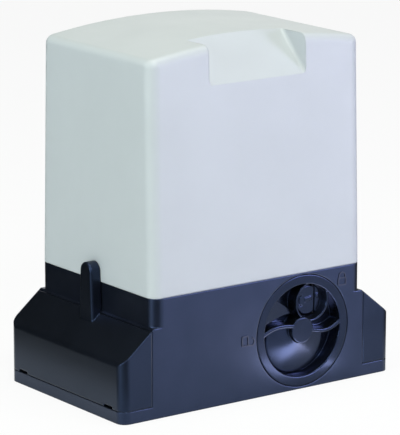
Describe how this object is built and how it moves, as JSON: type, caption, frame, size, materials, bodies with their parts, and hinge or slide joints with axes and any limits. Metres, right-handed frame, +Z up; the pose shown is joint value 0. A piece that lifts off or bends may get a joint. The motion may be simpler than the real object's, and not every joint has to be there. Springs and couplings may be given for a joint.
{
  "type": "sliding gate motor",
  "caption": "Boxy sliding gate operator with a pale crowned cover, black cast base, round release knob in front and a toothed pinion behind.",
  "frame": {"origin": "middle of the anchor hole pattern, on the underside of the foot", "axes": "+Z up; -Y towards the front with the release knob; +Y towards the rear and the pinion; +X to the right seen from the front"},
  "size_m": [0.275, 0.191, 0.2988],
  "materials": {
    "black_casting": "satin black paint",
    "black_plastic": "satin moulded black",
    "cover_plastic": "fine satin light grey",
    "black_rubber": "matte",
    "zinc_steel": "zinc plated",
    "spring_steel": "oiled dark",
    "gear_steel": "machined, oiled",
    "gear_bronze": "machined bronze",
    "bearing_steel": "ground",
    "bare_aluminium": "as cast",
    "lamination_steel": "stacked sheet",
    "copper_wire": "enamelled copper",
    "board_green": "solder resist",
    "support_plastic": "moulded grey",
    "terminal_plastic": "moulded green",
    "dark_plastic": "moulded black",
    "fuse_glass": "clear tube",
    "button_plastic": "moulded pale grey",
    "capacitor_shell": "moulded white",
    "lock_brass": "nickel worn brass"
  },
  "bodies": {
    "housing": {"base_housing": "black_casting", "side_guard_left": "black_plastic", "side_guard_right": "black_plastic", "top_cover": "cover_plastic", "cover_seal": "black_rubber", "cover_screws": "zinc_steel", "gear_cover_plate": "bare_aluminium", "plate_screws": "zinc_steel", "knob_retaining_ring": "spring_steel", "shaft_bearing_outers": "bearing_steel", "shaft_seal": "black_rubber", "lower_bell": "bare_aluminium", "upper_bell": "bare_aluminium", "stator_core": "lamination_steel", "stator_windings": "copper_wire", "tie_bolts": "zinc_steel", "rotor_bearing_outers": "bearing_steel", "board_support": "support_plastic", "control_board": "board_green", "terminal_blocks": "terminal_plastic", "relays": "dark_plastic", "fuse_holders": "dark_plastic", "fuse": "fuse_glass", "button_housings": "dark_plastic", "transformer_core": "lamination_steel", "transformer_coil": "copper_wire", "capacitor": "capacitor_shell", "capacitor_clip": "zinc_steel", "limit_sensor": "dark_plastic"},
    "rotor": {"rotor_shaft": "gear_steel", "rotor_core": "bare_aluminium", "worm": "gear_steel", "rotor_bearing_inners": "bearing_steel"},
    "wheel": {"worm_wheel": "gear_bronze", "wheel_bush": "gear_bronze"},
    "shaft": {"output_shaft": "gear_steel", "pinion_key": "gear_steel", "pinion": "gear_steel", "pinion_washer": "zinc_steel", "pinion_bolt": "zinc_steel", "shaft_bearing_inners": "bearing_steel", "shaft_circlips": "spring_steel", "clutch_spring": "spring_steel"},
    "clutch": {"clutch_sleeve": "gear_steel", "clutch_pin": "gear_steel", "push_rod": "gear_steel"},
    "plunger": {"release_plunger": "gear_steel"},
    "knob": {"release_knob": "black_plastic", "cap_hinge_pin": "zinc_steel"},
    "lock": {"lock_barrel": "lock_brass", "lock_cam": "lock_brass"},
    "cap": {"lock_cap": "black_plastic"},
    "open_button": {"open_button": "button_plastic"},
    "stop_button": {"stop_button": "button_plastic"},
    "close_button": {"close_button": "button_plastic"}
  },
  "joints": [
    {"name": "rotor_spin", "type": "hinge", "parent": "housing", "child": "rotor", "pos_m": [-0.0055, 0.005, 0.1], "axis": [0, 0, 1], "continuous": true},
    {"name": "wheel_spin", "type": "hinge", "parent": "housing", "child": "wheel", "pos_m": [0.044, 0, 0.0498], "axis": [0, 1, 0], "continuous": true},
    {"name": "shaft_spin", "type": "hinge", "parent": "housing", "child": "shaft", "pos_m": [0.044, 0, 0.0498], "axis": [0, 1, 0], "continuous": true},
    {"name": "clutch_slide", "type": "slide", "parent": "shaft", "child": "clutch", "axis": [0, 1, 0], "range_m": [0, 0.005], "deforming": ["clutch_spring"]},
    {"name": "plunger_slide", "type": "slide", "parent": "housing", "child": "plunger", "axis": [0, 1, 0], "range_m": [0, 0.005]},
    {"name": "knob_turn", "type": "hinge", "parent": "housing", "child": "knob", "pos_m": [0.044, 0, 0.0498], "axis": [0, 1, 0], "range_deg": [0, 180]},
    {"name": "lock_turn", "type": "hinge", "parent": "knob", "child": "lock", "pos_m": [0.055, 0, 0.0728], "axis": [0, 1, 0], "range_deg": [0, 90]},
    {"name": "cap_flip", "type": "hinge", "parent": "knob", "child": "cap", "pos_m": [0.0605, -0.07355, 0.0728], "axis": [0, 0, 1], "range_deg": [0, 90]},
    {"name": "open_button_press", "type": "slide", "parent": "housing", "child": "open_button", "axis": [0, 1, 0], "range_m": [0, 0.00025], "stiffness_N_per_m": 600},
    {"name": "stop_button_press", "type": "slide", "parent": "housing", "child": "stop_button", "axis": [0, 1, 0], "range_m": [0, 0.00025], "stiffness_N_per_m": 600},
    {"name": "close_button_press", "type": "slide", "parent": "housing", "child": "close_button", "axis": [0, 1, 0], "range_m": [0, 0.00025], "stiffness_N_per_m": 600}
  ],
  "couplings": [
    {"joint": "wheel_spin", "follows": "rotor_spin", "ratio": -0.033333},
    {"joint": "shaft_spin", "follows": "rotor_spin", "ratio": -0.033333},
    {"joint": "clutch_slide", "follows": "knob_turn", "m_per_rad": 0.0015915},
    {"joint": "plunger_slide", "follows": "knob_turn", "m_per_rad": 0.0015915}
  ]
}
